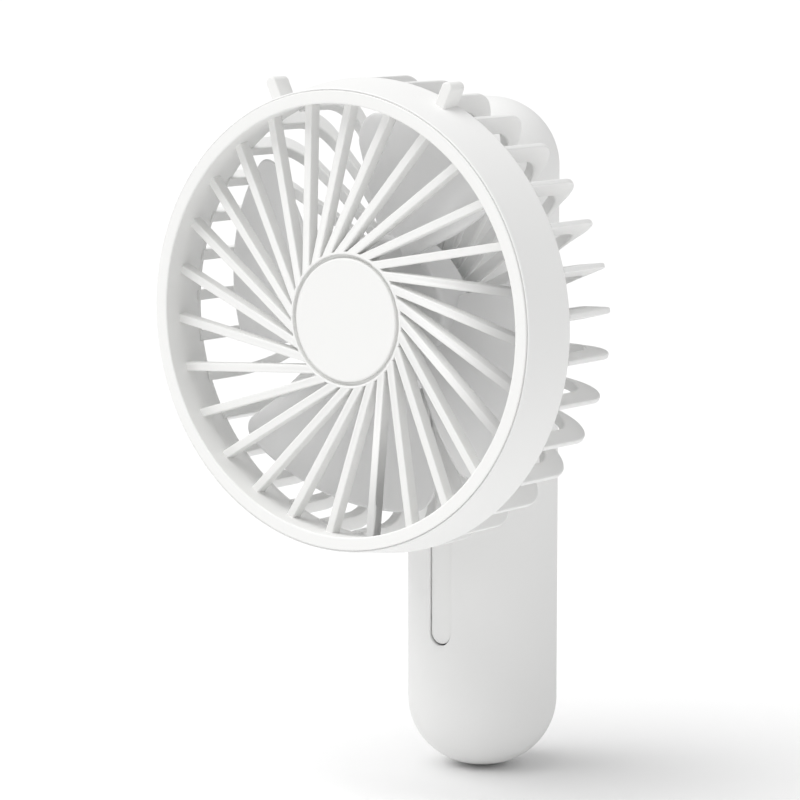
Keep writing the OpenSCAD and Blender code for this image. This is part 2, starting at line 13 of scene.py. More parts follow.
import bmesh
import bpy
import numpy as np
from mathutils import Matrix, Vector


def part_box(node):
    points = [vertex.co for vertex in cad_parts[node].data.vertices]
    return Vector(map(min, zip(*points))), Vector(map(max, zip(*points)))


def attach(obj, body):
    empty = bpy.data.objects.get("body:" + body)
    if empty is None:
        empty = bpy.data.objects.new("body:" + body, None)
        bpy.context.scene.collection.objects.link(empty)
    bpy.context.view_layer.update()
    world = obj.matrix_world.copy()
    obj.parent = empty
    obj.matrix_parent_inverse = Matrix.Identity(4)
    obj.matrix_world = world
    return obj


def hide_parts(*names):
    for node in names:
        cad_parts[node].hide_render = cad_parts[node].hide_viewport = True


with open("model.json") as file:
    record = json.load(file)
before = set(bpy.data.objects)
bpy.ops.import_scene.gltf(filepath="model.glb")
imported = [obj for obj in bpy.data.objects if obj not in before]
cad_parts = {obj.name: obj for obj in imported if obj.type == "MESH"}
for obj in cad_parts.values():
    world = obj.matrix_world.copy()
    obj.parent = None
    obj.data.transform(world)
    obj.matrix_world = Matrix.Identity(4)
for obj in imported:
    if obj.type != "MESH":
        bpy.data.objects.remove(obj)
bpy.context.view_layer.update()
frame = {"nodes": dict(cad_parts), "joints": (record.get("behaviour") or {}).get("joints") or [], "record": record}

MM = 0.001
# Points nearer than this are one point, in metres.
WELD = 2e-6
# A cut's overshoot, and a fillet too small to see.
SLIVER = 0.01
CRISP = 0.001
# Edges sharper than this stay sharp, in degrees.
CREASE = 38.0
TAU = 2 * np.pi
Array = np.ndarray
Corner = tuple[float, float, float]
LOG = logging.getLogger("fan")


class Body(Enum):
    """The moving bodies of the frame."""

    HANDLE = "handle"
    HEAD = "head"
    ROTOR = "rotor"
    BUTTON = "button"


class Operation(Enum):
    """How one solid changes another."""

    CUT = "DIFFERENCE"
    KEEP = "INTERSECT"
    ADD = "UNION"


# ---------------------------------------------------------------- surfaces


@dataclass
class Surface:
    """A set of quads in millimetres, gathered from one or more grids."""

    points: Array
    faces: Array

    @classmethod
    def from_grids(cls, grids: Array, wrap_rows: bool = False) -> "Surface":
        """Closes each grid of a stack round its columns.

        Args:
            grids: points of shape (count, rows, columns, 3).
            wrap_rows: whether the last row also joins the first one.

        Returns:
            One surface that holds every grid.
        """
        count, rows, cols, _ = grids.shape
        row = np.arange(rows if wrap_rows else rows - 1)[:, None]
        col = np.arange(cols)[None, :]
        after, beside = (row + 1) % rows, (col + 1) % cols
        quads = np.stack(
            [row * cols + col, row * cols + beside, after * cols + beside, after * cols + col], -1
        ).reshape(-1, 4)
        starts = np.arange(count)[:, None, None] * rows * cols
        return cls(grids.reshape(-1, 3), (quads[None] + starts).reshape(-1, 4))

    def plus(self, other: "Surface") -> "Surface":
        """Both surfaces as one."""
        return Surface(
            np.vstack([self.points, other.points]),
            np.vstack([self.faces, other.faces + len(self.points)]),
        )

    def piece(self, name: str) -> bpy.types.Object:
        """Makes an object of the surface, welded where its points meet.

        Args:
            name: the piece's name.

        Returns:
            The object, at the origin, with its place in its mesh.
        """
        mesh = bpy.data.meshes.new(name)
        mesh.from_pydata((self.points * MM).tolist(), [], self.faces.tolist())
        work = bmesh.new()
        work.from_mesh(mesh)
        bmesh.ops.remove_doubles(work, verts=work.verts, dist=WELD)
        bmesh.ops.dissolve_degenerate(work, edges=work.edges, dist=WELD / 4)
        bmesh.ops.recalc_face_normals(work, faces=work.faces)
        work.to_mesh(mesh)
        work.free()
        smooth(mesh)
        piece = bpy.data.objects.new(name, mesh)
        bpy.context.scene.collection.objects.link(piece)
        return piece


def smooth(mesh: bpy.types.Mesh) -> None:
    """Shades a mesh smoothly apart from edges sharper than the crease angle."""
    mesh.polygons.foreach_set("use_smooth", np.ones(len(mesh.polygons), bool))
    mesh.set_sharp_from_angle(angle=np.radians(CREASE))


def rounded(corners: list[Corner], steps: int = 4) -> Array:
    """Outline with each corner replaced by an arc.

    The arc at a corner is tangent to both of its sides. A support point stands a little way
    along each side from every arc, which keeps the sides flat when they are shaded.

    Args:
        corners: (across, along, radius) of each corner, in order.
        steps: spans in each arc.

    Returns:
        Points of shape (n, 2), a closed loop.
    """
    spots = np.array([c[:2] for c in corners], float)
    radii = np.maximum([c[2] for c in corners], 0.01)
    into = spots - np.roll(spots, 1, 0)
    into /= np.linalg.norm(into, axis=1)[:, None]
    away = np.roll(into, -1, 0)
    turn = np.arccos(np.clip((into * away).sum(1), -1, 1))
    setback = radii * np.tan(turn / 2)
    share = np.linspace(0, 1, steps + 1)[None, :, None]
    angle = turn[:, None, None] * share
    side = np.sign(into[:, 0] * away[:, 1] - into[:, 1] * away[:, 0])[:, None]
    normal = side * np.stack([-into[:, 1], into[:, 0]], -1)
    start = spots - into * setback[:, None]
    arc = start[:, None] + radii[:, None, None] * (
        np.sin(angle) * into[:, None] + (1 - np.cos(angle)) * normal[:, None]
    )
    support = np.minimum(0.12, 0.4 * radii)[:, None]
    before, after = start - into * support, arc[:, -1] + away * support
    return np.concatenate([before[:, None], arc, after[:, None]], 1).reshape(-1, 2)


def box_section(width: float, height: float, radius: float, steps: int = 3) -> Array:
    """Loop of a rectangle about the origin with rounded corners, of shape (n, 2)."""
    w, h = width / 2, height / 2
    return rounded([(-w, -h, radius), (w, -h, radius), (w, h, radius), (-w, h, radius)], steps)


def stadium(reach: float, radius: float, steps: int = 24) -> Array:
    """Loop of two half circles joined by straight sides.

    Args:
        reach: distance of each half circle's centre from the middle, along the second axis.
        radius: the half circles' radius.
        steps: spans in each half circle.

    Returns:
        Points of shape (n, 2), a closed loop.
    """
    angle = np.linspace(0, np.pi, steps + 1)
    arc = radius * np.stack([np.cos(angle), np.sin(angle)], -1)
    return np.concatenate([arc + [0, reach], -arc - [0, reach]])


def slab(reach: float, radius: float, low: float, high: float, fillet: float) -> Array:
    """Rows of a stadium plate whose edges are rounded.

    Each row is the stadium drawn in by the fillet's depth at that height. A support row beside
    each fillet keeps the faces flat when they are shaded. The first and last rows shrink to the
    middle line, which closes the plate.

    Args:
        reach: distance of each end's centre from the middle.
        radius: the ends' radius.
        low: one face's height.
        high: the other face's height.
        fillet: radius of the rounded edges.

    Returns:
        Points of shape (rows, columns, 3): across, along, height.
    """
    bend = np.linspace(0, np.pi / 2, 5)
    inset = fillet * (1 - np.sin(bend))
    lift = fillet * (1 - np.cos(bend))
    support = 1.3 * fillet
    insets = np.concatenate([[radius, support], inset, inset[::-1], [support, radius]])
    heights = np.concatenate([[low, low], low + lift, high - lift[::-1], [high, high]])
    rows = np.stack([stadium(reach, max(radius - i, 0)) for i in insets])
    return np.concatenate([rows, np.broadcast_to(heights[:, None, None], rows.shape[:2] + (1,))], 2)


def revolved(outline: Array, segments: int) -> Array:
    """Turns an outline of (radius, depth) points round the axis.

    Args:
        outline: points of shape (n, 2).
        segments: steps round the axis.

    Returns:
        Radius, angle in degrees and depth, of shape (1, n, segments, 3).
    """
    angle = np.linspace(0, 360, segments, endpoint=False)
    radius, depth = outline[:, 0, None], outline[:, 1, None]
    return np.stack(np.broadcast_arrays(radius, angle[None, :], depth), -1)[None]


def filled_box(low: Corner, high: Corner) -> Surface:
    """A plain box, for cutting and adding.

    Args:
        low: the corner with the least X, Y and Z.
        high: the corner opposite.

    Returns:
        The closed box.
    """
    corner = np.array([[x, y, z] for z in (0, 1) for y in (0, 1) for x in (0, 1)], float)
    faces = [[0, 2, 3, 1], [4, 5, 7, 6], [0, 1, 5, 4], [2, 6, 7, 3], [0, 4, 6, 2], [1, 3, 7, 5]]
    return Surface(np.array(low) + corner * (np.array(high) - np.array(low)), np.array(faces))


def rod_y(radius: float, y0: float, y1: float, x: float, z: float, segments: int = 96) -> Surface:
    """A cylinder along Y, for cutting and adding.

    Args:
        radius: its radius.
        y0: its front end.
        y1: its back end.
        x: its axis across.
        z: its axis's height.
        segments: steps round the axis.

    Returns:
        The closed cylinder.
    """
    angle = np.linspace(0, TAU, segments, endpoint=False)
    reach = np.array([0, radius, radius, 0])[:, None]
    depth = np.array([y0, y0, y1, y1])[:, None]
    grid = np.stack(
        np.broadcast_arrays(x + reach * np.cos(angle), depth, z + reach * np.sin(angle)), -1
    )
    return Surface.from_grids(grid[None])


def combine(piece: bpy.types.Object, tool: Surface, operation: Operation) -> None:
    """Cuts, keeps or adds one solid with another, and keeps the piece's mesh as the result.

    Args:
        piece: the object that changes.
        tool: the closed surface that it is changed by.
        operation: what is done.
    """
    other = tool.piece("tool")
    change = piece.modifiers.new("change", "BOOLEAN")
    change.operation = operation.value
    change.solver = "EXACT"
    change.object = other
    settle(piece)
    bpy.data.objects.remove(other)


def settle(piece: bpy.types.Object) -> None:
    """Applies a piece's modifiers to its mesh.

    Args:
        piece: the object whose mesh becomes the result.
    """
    bpy.context.view_layer.update()
    ready = piece.evaluated_get(bpy.context.evaluated_depsgraph_get())
    mesh = bpy.data.meshes.new_from_object(ready)
    piece.modifiers.clear()
    piece.data = mesh


def round_edges(piece: bpy.types.Object, width: float) -> None:
    """Gives every crisp edge of a piece a narrow rounding.

    Args:
        piece: the object that changes.
        width: the rounding's width.
    """
    work = bmesh.new()
    work.from_mesh(piece.data)
    bmesh.ops.remove_doubles(work, verts=work.verts, dist=WELD)
    bmesh.ops.dissolve_degenerate(work, edges=work.edges, dist=WELD)
    work.to_mesh(piece.data)
    work.free()
    bevel = piece.modifiers.new("edges", "BEVEL")
    bevel.width = width * MM
    bevel.segments = 2
    bevel.limit_method = "ANGLE"
    bevel.angle_limit = np.radians(CREASE)
    settle(piece)
    smooth(piece.data)


# ---------------------------------------------------------------- finishes


@dataclass(frozen=True)
class Finish:
    """A moulded, turned or drawn surface with a fine grain.

    Colour moves a little with two noises, one broad and one as fine as the grain. The grain
    also shifts the roughness and raises the surface. Grain, cloud and relief are lengths.
    """

    name: str
    colour: tuple[float, float, float]
    roughness: float = 0.5
    metallic: float = 0.0
    grain: float = 0.25
    relief: float = 0.01
    speckle: float = 0.02
    mottle: float = 0.02
    stretch: tuple[float, float, float] = (1.0, 1.0, 1.0)
    specular: float = 0.4
    cloud: float = 14.0
    shine: float = 0.06

    def material(self) -> bpy.types.Material:
        """Makes the finish as a node material, once, and then shares it.

        Returns:
            The material.
        """
        made = bpy.data.materials.get(self.name)
        if made:
            return made
        made = bpy.data.materials.new(self.name)
        made.use_nodes = True
        nodes, links = made.node_tree.nodes, made.node_tree.links
        shader = nodes["Principled BSDF"]
        shader.inputs["Metallic"].default_value = self.metallic
        shader.inputs["Specular IOR Level"].default_value = self.specular
        place = nodes.new("ShaderNodeTexCoord")
        turn = nodes.new("ShaderNodeMapping")
        turn.inputs["Scale"].default_value = self.stretch
        links.new(place.outputs["Object"], turn.inputs["Vector"])
        fine = self._noise(made, turn, 1 / (self.grain * MM), 3.0)
        broad = self._noise(made, turn, 1 / (self.cloud * MM), 2.0)
        tone = self._spread(made, fine, 1 - self.speckle, 1 + self.speckle)
        shade = self._spread(made, broad, 1 - self.mottle, 1 + self.mottle)
        both = nodes.new("ShaderNodeMath")
        both.operation = "MULTIPLY"
        links.new(tone, both.inputs[0])
        links.new(shade, both.inputs[1])
        paint = nodes.new("ShaderNodeVectorMath")
        paint.operation = "SCALE"
        paint.inputs[0].default_value = self.colour
        links.new(both.outputs[0], paint.inputs["Scale"])
        links.new(paint.outputs[0], shader.inputs["Base Color"])
        rough = self._spread(made, fine, self.roughness - self.shine, self.roughness + self.shine)
        links.new(rough, shader.inputs["Roughness"])
        bump = nodes.new("ShaderNodeBump")
        bump.inputs["Distance"].default_value = self.relief * MM
        bump.inputs["Strength"].default_value = 1.0
        links.new(fine.outputs["Fac"], bump.inputs["Height"])
        links.new(bump.outputs["Normal"], shader.inputs["Normal"])
        return made

    def _noise(
        self, made: bpy.types.Material, turn: bpy.types.Node, scale: float, detail: float
    ) -> bpy.types.Node:
        """Adds a noise node that is fed from the piece's own coordinates.

        Args:
            made: the material.
            turn: the mapping node that stretches the coordinates.
            scale: the noise's cells in a metre.
            detail: its octaves.

        Returns:
            The noise node.
        """
        noise = made.node_tree.nodes.new("ShaderNodeTexNoise")
        noise.inputs["Scale"].default_value = scale
        noise.inputs["Detail"].default_value = detail
        made.node_tree.links.new(turn.outputs["Vector"], noise.inputs["Vector"])
        return noise

    def _spread(
        self, made: bpy.types.Material, noise: bpy.types.Node, low: float, high: float
    ) -> bpy.types.NodeSocket:
        """Maps the middle of a noise's values to a range.

        Args:
            made: the material.
            noise: the noise node.
            low: the value at the noise's lower end.
            high: the value at its upper end.

        Returns:
            The socket that gives the value.
        """
        spread = made.node_tree.nodes.new("ShaderNodeMapRange")
        spread.inputs["From Min"].default_value = 0.3
        spread.inputs["From Max"].default_value = 0.7
        spread.inputs["To Min"].default_value = low
        spread.inputs["To Max"].default_value = high
        made.node_tree.links.new(noise.outputs["Fac"], spread.inputs["Value"])
        return spread.outputs["Result"]


WHITE = (0.45, 0.45, 0.448)
SHELL = Finish("shell_plastic", WHITE, 0.46, grain=0.30, relief=0.004, speckle=0.008, mottle=0.01)
GRAINED = Finish("grained_plastic", WHITE, 0.58, grain=0.30, relief=0.03, speckle=0.03)
BLADE = Finish("blade_plastic", (0.41, 0.41, 0.41), 0.34, grain=0.5, relief=0.003, speckle=0.006)
BUTTON = Finish("button_plastic", (0.44, 0.44, 0.438), 0.40, grain=0.3, relief=0.006, speckle=0.01)
INNER = Finish("inner_plastic", (0.035, 0.035, 0.038), 0.55, grain=0.35, relief=0.02)
LENS = Finish("lens", (0.74, 0.76, 0.77), 0.25, grain=0.4, relief=0.002, speckle=0.01)
ZINC = Finish("screw_steel", (0.52, 0.53, 0.55), 0.32, 1.0, 0.15, 0.006, 0.06, 0.05)
SHAFT = Finish("shaft_steel", (0.62, 0.63, 0.65), 0.18, 1.0, 0.1, 0.003, 0.04, stretch=(6, 1, 6))
SOCKET = Finish("socket_steel", (0.58, 0.59, 0.61), 0.26, 1.0, 0.12, 0.004, 0.05, stretch=(1, 5, 1))
NICKEL = Finish("tab_nickel", (0.60, 0.60, 0.57), 0.30, 1.0, 0.2, 0.005, 0.06)
IRON = Finish("motor_iron", (0.32, 0.33, 0.35), 0.42, 1.0, 0.2, 0.01, 0.10, stretch=(1, 8, 1))
SINTER = Finish("bearing_metal", (0.42, 0.33, 0.19), 0.48, 1.0, 0.12, 0.02, 0.15)
BRASS = Finish("brass", (0.70, 0.52, 0.22), 0.24, 1.0, 0.15, 0.004, 0.05, stretch=(1, 6, 1))
COPPER = Finish("copper_wire", (0.58, 0.21, 0.08), 0.30, 0.85, 0.3, 0.06, 0.18, stretch=(1, 4, 1))
FERRITE = Finish("magnet", (0.045, 0.045, 0.05), 0.60, 0.3, 0.2, 0.02, 0.15)
WRAP = Finish("cell_wrap", (0.03, 0.10, 0.28), 0.28, grain=2.0, relief=0.02, speckle=0.05)
MASK = Finish("board_laminate", (0.01, 0.11, 0.05), 0.30, grain=0.4, relief=0.008, speckle=0.10)
LEAD = Finish("lead_jacket", (0.36, 0.02, 0.015), 0.45, grain=0.3, relief=0.008, speckle=0.06)
FINISHES = {
    finish.name: finish
    for finish in (
        SHELL, GRAINED, BLADE, BUTTON, INNER, LENS, ZINC, SHAFT, SOCKET, NICKEL, IRON, SINTER,
        BRASS, COPPER, FERRITE, WRAP, MASK, LEAD,
    )
}


def dress(piece: bpy.types.Object, finish: Finish) -> None:
    """Gives a piece one finish all over.

    Args:
        piece: the object.
        finish: its finish.
    """
    piece.data.materials.clear()
    piece.data.materials.append(finish.material())
    piece.data.update()


def place(
    surface: Surface | bpy.types.Object, name: str, body: Body, finish: Finish, node: str
) -> bpy.types.Object:
    """Makes, dresses and mounts a piece that stands for one CAD node.

    Args:
        surface: the piece's surface, or its finished object.
        name: the piece's name.
        body: the body that it moves with.
        finish: its finish, which also names its material slot.
        node: the CAD node that it replaces.

    Returns:
        The mounted object.
    """
    piece = surface.piece(name) if isinstance(surface, Surface) else surface
    dress(piece, finish)
    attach(piece, body.value)
    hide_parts(node)
    LOG.info("%s stands for %s: %d faces", name, node, len(piece.data.polygons))
    return piece


# ---------------------------------------------------------------- head


@dataclass(frozen=True)
class HeadSpace:
    """Where the head is: the plane of its front face and its axis."""

    front_y: float
    axis_z: float

    def world(self, polar: Array) -> Array:
        """Turns polar points in the head into X, Y and Z.

        Args:
            polar: radius, angle in degrees and depth along the last axis.

        Returns:
            Points of the same shape.
        """
        radius, angle, depth = polar[..., 0], np.radians(polar[..., 1]), polar[..., 2]
        return np.stack(
            [radius * np.cos(angle), self.front_y + depth, self.axis_z + radius * np.sin(angle)],
            -1,
        )

    def turned(self, flat: Array, angles: Array) -> Array:
        """Copies points to several angles about the axis.

        Args:
            flat: points (out, round, depth) at angle 0, of shape (rows, columns, 3). Out is
                along the radius at angle 0, and round is across it, counter-clockwise.
            angles: the copies' angles in degrees.

        Returns:
            World points of shape (copies, rows, columns, 3).
        """
        turn = np.radians(angles)[:, None, None]
        out, about, depth = flat[None, ..., 0], flat[None, ..., 1], flat[None, ..., 2]
        x = out * np.cos(turn) - about * np.sin(turn)
        z = out * np.sin(turn) + about * np.cos(turn)
        return np.stack(np.broadcast_arrays(x, self.front_y + depth, self.axis_z + z), -1)

    def ring(self, corners: list[Corner], segments: int = 256) -> Surface:
        """A closed ring from the rounded corners (radius, depth, rounding) of its section."""
        outline = rounded(corners)
        return Surface.from_grids(self.world(revolved(outline, segments)), wrap_rows=True)

    def disc(self, corners: list[Corner], segments: int = 192) -> Surface:
        """A solid of revolution whose section's first and last corners lie on the axis.

        Args:
            corners: (radius, depth, rounding) of the section's corners.
            segments: steps round the axis.

        Returns:
            The closed solid.
        """
        outline = rounded(corners)
        near_axis = 0.05
        outline = outline[outline[:, 0] > near_axis]
        ends = np.array([[0.0, corners[0][1]], [0.0, corners[-1][1]]])
        outline = np.vstack([ends[:1], outline, ends[1:]])
        return Surface.from_grids(self.world(revolved(outline, segments)))


@dataclass
class Duct:
    """The outer ring of the head and its two stand feet."""

    space: HeadSpace
    length: float = 12.0
    front_radius: float = 45.35
    back_radius: float = 47.1
    foot_angle: float = 25.0
    foot_front: float = 7.4
    foot_root: float = 45.0
    foot_reach: float = 51.5
    foot_width: float = 2.4
    foot_edge: float = 0.3
    face: float = 0.3
    bore: float = 43.9
    seat_radius: float = 44.95
    seat_depth: float = 3.25
    step_radius: float = 43.28
    step_depth: float = 7.42

    def build(self) -> None:
        """Makes the ring and the feet.

        The ring's section has a seat in front for the guard's ring, a bore round the guard's
        sleeve, and behind the sleeve a step flush with it.
        """
        wall = [
            (self.seat_radius, self.seat_depth, 0.05), (self.seat_radius, 0.35, 0.12),
            (self.front_radius, self.face, 0.22), (self.back_radius, self.length, 0.35),
            (self.bore, self.length, 0.25), (self.step_radius, self.step_depth, 0.01),
            (self.bore, self.step_depth, 0.02), (self.bore, self.seat_depth, 0.05),
        ]
        place(self.space.ring(wall), "duct_wall", Body.HEAD, SHELL, "duct_ring")
        half = (self.foot_reach - self.foot_root) / 2 - self.foot_width / 2
        middle = (self.foot_reach + self.foot_root) / 2
        plate = slab(
            half, self.foot_width / 2, self.foot_front, self.length, self.foot_edge
        )
        flat = np.stack([plate[..., 1] + middle, plate[..., 0], plate[..., 2]], -1)
        angles = 90 + np.array([-1, 1]) * self.foot_angle
        feet = Surface.from_grids(self.space.turned(flat, angles))
        place(feet, "feet_pair", Body.HEAD, GRAINED, "stand_feet")


@dataclass
class FrontGuard:
    """The flat front ring, the straight swept ribs, the hub and its plain cap."""

    space: HeadSpace
    count: int = 27
    phase: float = 90.14
    miss: float = 9.7
    width: float = 1.7
    rib_depth: float = 2.7
    hub_front: float = 3.45
    rim_front: float = 4.75
    hub_radius: float = 13.45
    groove_radius: float = 12.95
    groove_floor: float = 4.5
    cap_radius: float = 12.15
    hub_back: float = 7.2
    mouth: float = 42.33
    ring_radius: float = 44.93
    ring_back: float = 3.2
    sleeve_radius: float = 43.85
    sleeve_bore: float = 43.27
    sleeve_back: float = 7.4
    rib_reach: float = 43.5
    rib_edge: float = 0.22

    def build(self) -> None:
        """Makes the guard as one piece, and its cap."""
        guard = self._ribs().piece("guard_ribs")
        front, floor = self.space.front_y, self.groove_floor
        groove = rod_y(
            self.groove_radius, front, front + floor + SLIVER, 0, self.space.axis_z, 192
        )
        combine(guard, groove, Operation.CUT)
        ring = self.space.ring(
            [(self.mouth, 0.0, 0.3), (self.ring_radius, 0.0, 0.2),
             (self.ring_radius, self.ring_back, 0.1), (self.sleeve_radius, self.ring_back, 0.05),
             (self.sleeve_radius, self.sleeve_back, 0.02),
             (self.sleeve_bore, self.sleeve_back, 0.01)]
        )
        combine(guard, self._hub(), Operation.ADD)
        combine(guard, ring, Operation.ADD)
        smooth(guard.data)
        place(guard, "guard_ribs", Body.HEAD, GRAINED, "front_guard")
        cap_back = floor - 2 * SLIVER
        cap = self.space.disc(
            [(0, self.hub_front, 0), (self.cap_radius, self.hub_front, 0.3),
             (self.cap_radius, cap_back, 0.05), (0, cap_back, 0)]
        )
        place(cap, "hub_cap", Body.HEAD, GRAINED, "front_cap")

    def _hub(self) -> Surface:
        """The hub: a plate with a raised rim, which leaves a groove round the cap."""
        return self.space.disc(
            [(0, self.groove_floor, 0), (self.groove_radius, self.groove_floor, 0.1),
             (self.groove_radius, self.hub_front, 0.15), (self.hub_radius, self.hub_front, 0.15),
             (self.hub_radius, self.hub_back, 0.3), (0, self.hub_back, 0)]
        )

    def _ribs(self) -> Surface:
        """Straight bars that miss the axis, each a rounded rectangle carried along a line.

        A rib's front lies at the hub's depth where it leaves the hub, and sinks evenly to the
        rim's depth at the wall.

        Returns:
            One surface with every rib.
        """
        section = box_section(self.width, self.rib_depth, self.rib_edge)
        start = np.sqrt((self.hub_radius + 0.1) ** 2 - (self.miss + self.width / 2) ** 2)
        end = np.sqrt(self.rib_reach**2 - self.miss**2)
        out = np.array([start, start, end, end])[:, None]
        scale = np.array([0, 1, 1, 0])[:, None]
        slope = (self.rim_front - self.hub_front) / (end - start)
        middle = self.hub_front + self.rib_depth / 2 + slope * (out - start)
        flat = np.stack(
            np.broadcast_arrays(
                out, self.miss + scale * section[None, :, 0], middle + scale * section[None, :, 1]
            ),
            -1,
        )
        angles = self.phase - 360 / self.count * np.arange(self.count)
        return Surface.from_grids(self.space.turned(flat, angles))


@dataclass
class RearGuard:
    """The curved fins behind the duct, their base ring and the plate that they meet."""

    space: HeadSpace
    count: int = 33
    phase: float = 57.85
    thickness: float = 1.0
    outer: float = 47.0
    base: float = 12.0
    back: float = 31.0
    band: float = 3.6
    bar: float = 3.2
    corner: float = 7.0
    inner_corner: float = 7.0
    inner_thickness: float = 2.3
    plate_radius: float = 13.0
    boss_radius: float = 5.0
    boss_front: float = 25.2
    bend_out: float = 34.0
    bend_length: float = 7.0
    bend_swing: float = 1.2
    bend_shift: float = -1.0
    plate_depth: float = 3.5
    plate_overlap: float = 1.0
    ring_inside: float = 3.0
    ring_outside: float = 1.2
    ring_depth: float = 1.2
    section_depth: float = 3.4
    section_edge: float = 0.3

    def build(self) -> None:
        """Makes the rear guard as one piece."""
        near, far = self.outer - self.ring_inside, self.outer - self.ring_outside
        ring_back = self.base + self.ring_depth
        ring = self.space.ring(
            [(near, self.base, 0.1), (far, self.base, 0.1), (far, ring_back, 0.3),
             (near, ring_back, 0.3)]
        )
        plate_front = self.back - self.plate_depth
        plate = self.space.disc(
            [(0, self.boss_front, 0), (self.boss_radius, self.boss_front, 0.3),
             (self.boss_radius, plate_front, 0.1), (self.plate_radius, plate_front, 0.5),
             (self.plate_radius, self.back, 0.6), (0, self.back, 0)]
        )
        guard = ring.plus(plate).plus(self._fins())
        place(guard, "guard_fins", Body.HEAD, SHELL, "rear_guard")

    def _edge(self, radius: float, back: float, corner: float) -> tuple[Array, Array]:
        """One long edge of a fin as seen from the side.

        It runs straight back, turns through a quarter circle and runs in to the plate.

        Args:
            radius: how far out it runs back.
            back: how far back it runs in.
            corner: the quarter circle's radius.

        Returns:
            The radius and the depth of each point along the edge.
        """
        run = np.linspace(0, 1, 9)[:-1]
        turn = np.linspace(0, np.pi / 2, 13)
        inward = np.linspace(0, 1, 26)[1:]
        knee, shoulder = back - corner, radius - corner
        end = self.plate_radius - self.plate_overlap
        out = np.concatenate([
            np.full(run.size, radius), shoulder + corner * np.cos(turn),
            shoulder + (end - shoulder) * inward,
        ])
        depth = np.concatenate([
            self.base + (knee - self.base) * run, knee + corner * np.sin(turn),
            np.full(inward.size, back),
        ])
        return out, depth

    def _fins(self) -> Surface:
        """Fins, each a strip between an outer and an inner edge.

        Seen from behind, a fin follows an S, a hyperbolic tangent of its reach, and passes the
        axis. Its section is a rounded wedge, thin outside and thick inside.

        Returns:
            One surface with every fin.
        """
        outer_r, outer_d = self._edge(self.outer, self.back, self.corner)
        inner_r, inner_d = self._edge(
            self.outer - self.band, self.back - self.bar, self.inner_corner
        )
        thin, thick = self.thickness / 2, self.inner_thickness / 2
        deep, edge = self.section_depth, self.section_edge
        loop = rounded([(0.0, -thin, edge), (deep, -thick, edge), (deep, thick, edge),
                        (0.0, thin, edge)])
        share = np.clip(loop[:, 0] / deep, 0, 1)
        out = outer_r[:, None] - (outer_r - inner_r)[:, None] * share
        depth = outer_d[:, None] - (outer_d - inner_d)[:, None] * share
        swing = np.tanh((out - self.bend_out) / self.bend_length)
        lean = np.arctan(self.bend_swing / self.bend_length * (1 - swing**2))
        about = self.bend_shift + self.bend_swing * swing
        side = loop[:, 1][None]
        flat = np.stack([out - side * np.sin(lean), about + side * np.cos(lean), depth], -1)
        middle = flat.mean(1, keepdims=True)
        flat = np.concatenate([
            np.broadcast_to(middle[:1], flat[:1].shape), flat,
            np.broadcast_to(middle[-1:], flat[-1:].shape)])
        angles = self.phase - 360 / self.count * np.arange(self.count)
        return Surface.from_grids(self.space.turned(flat, angles))


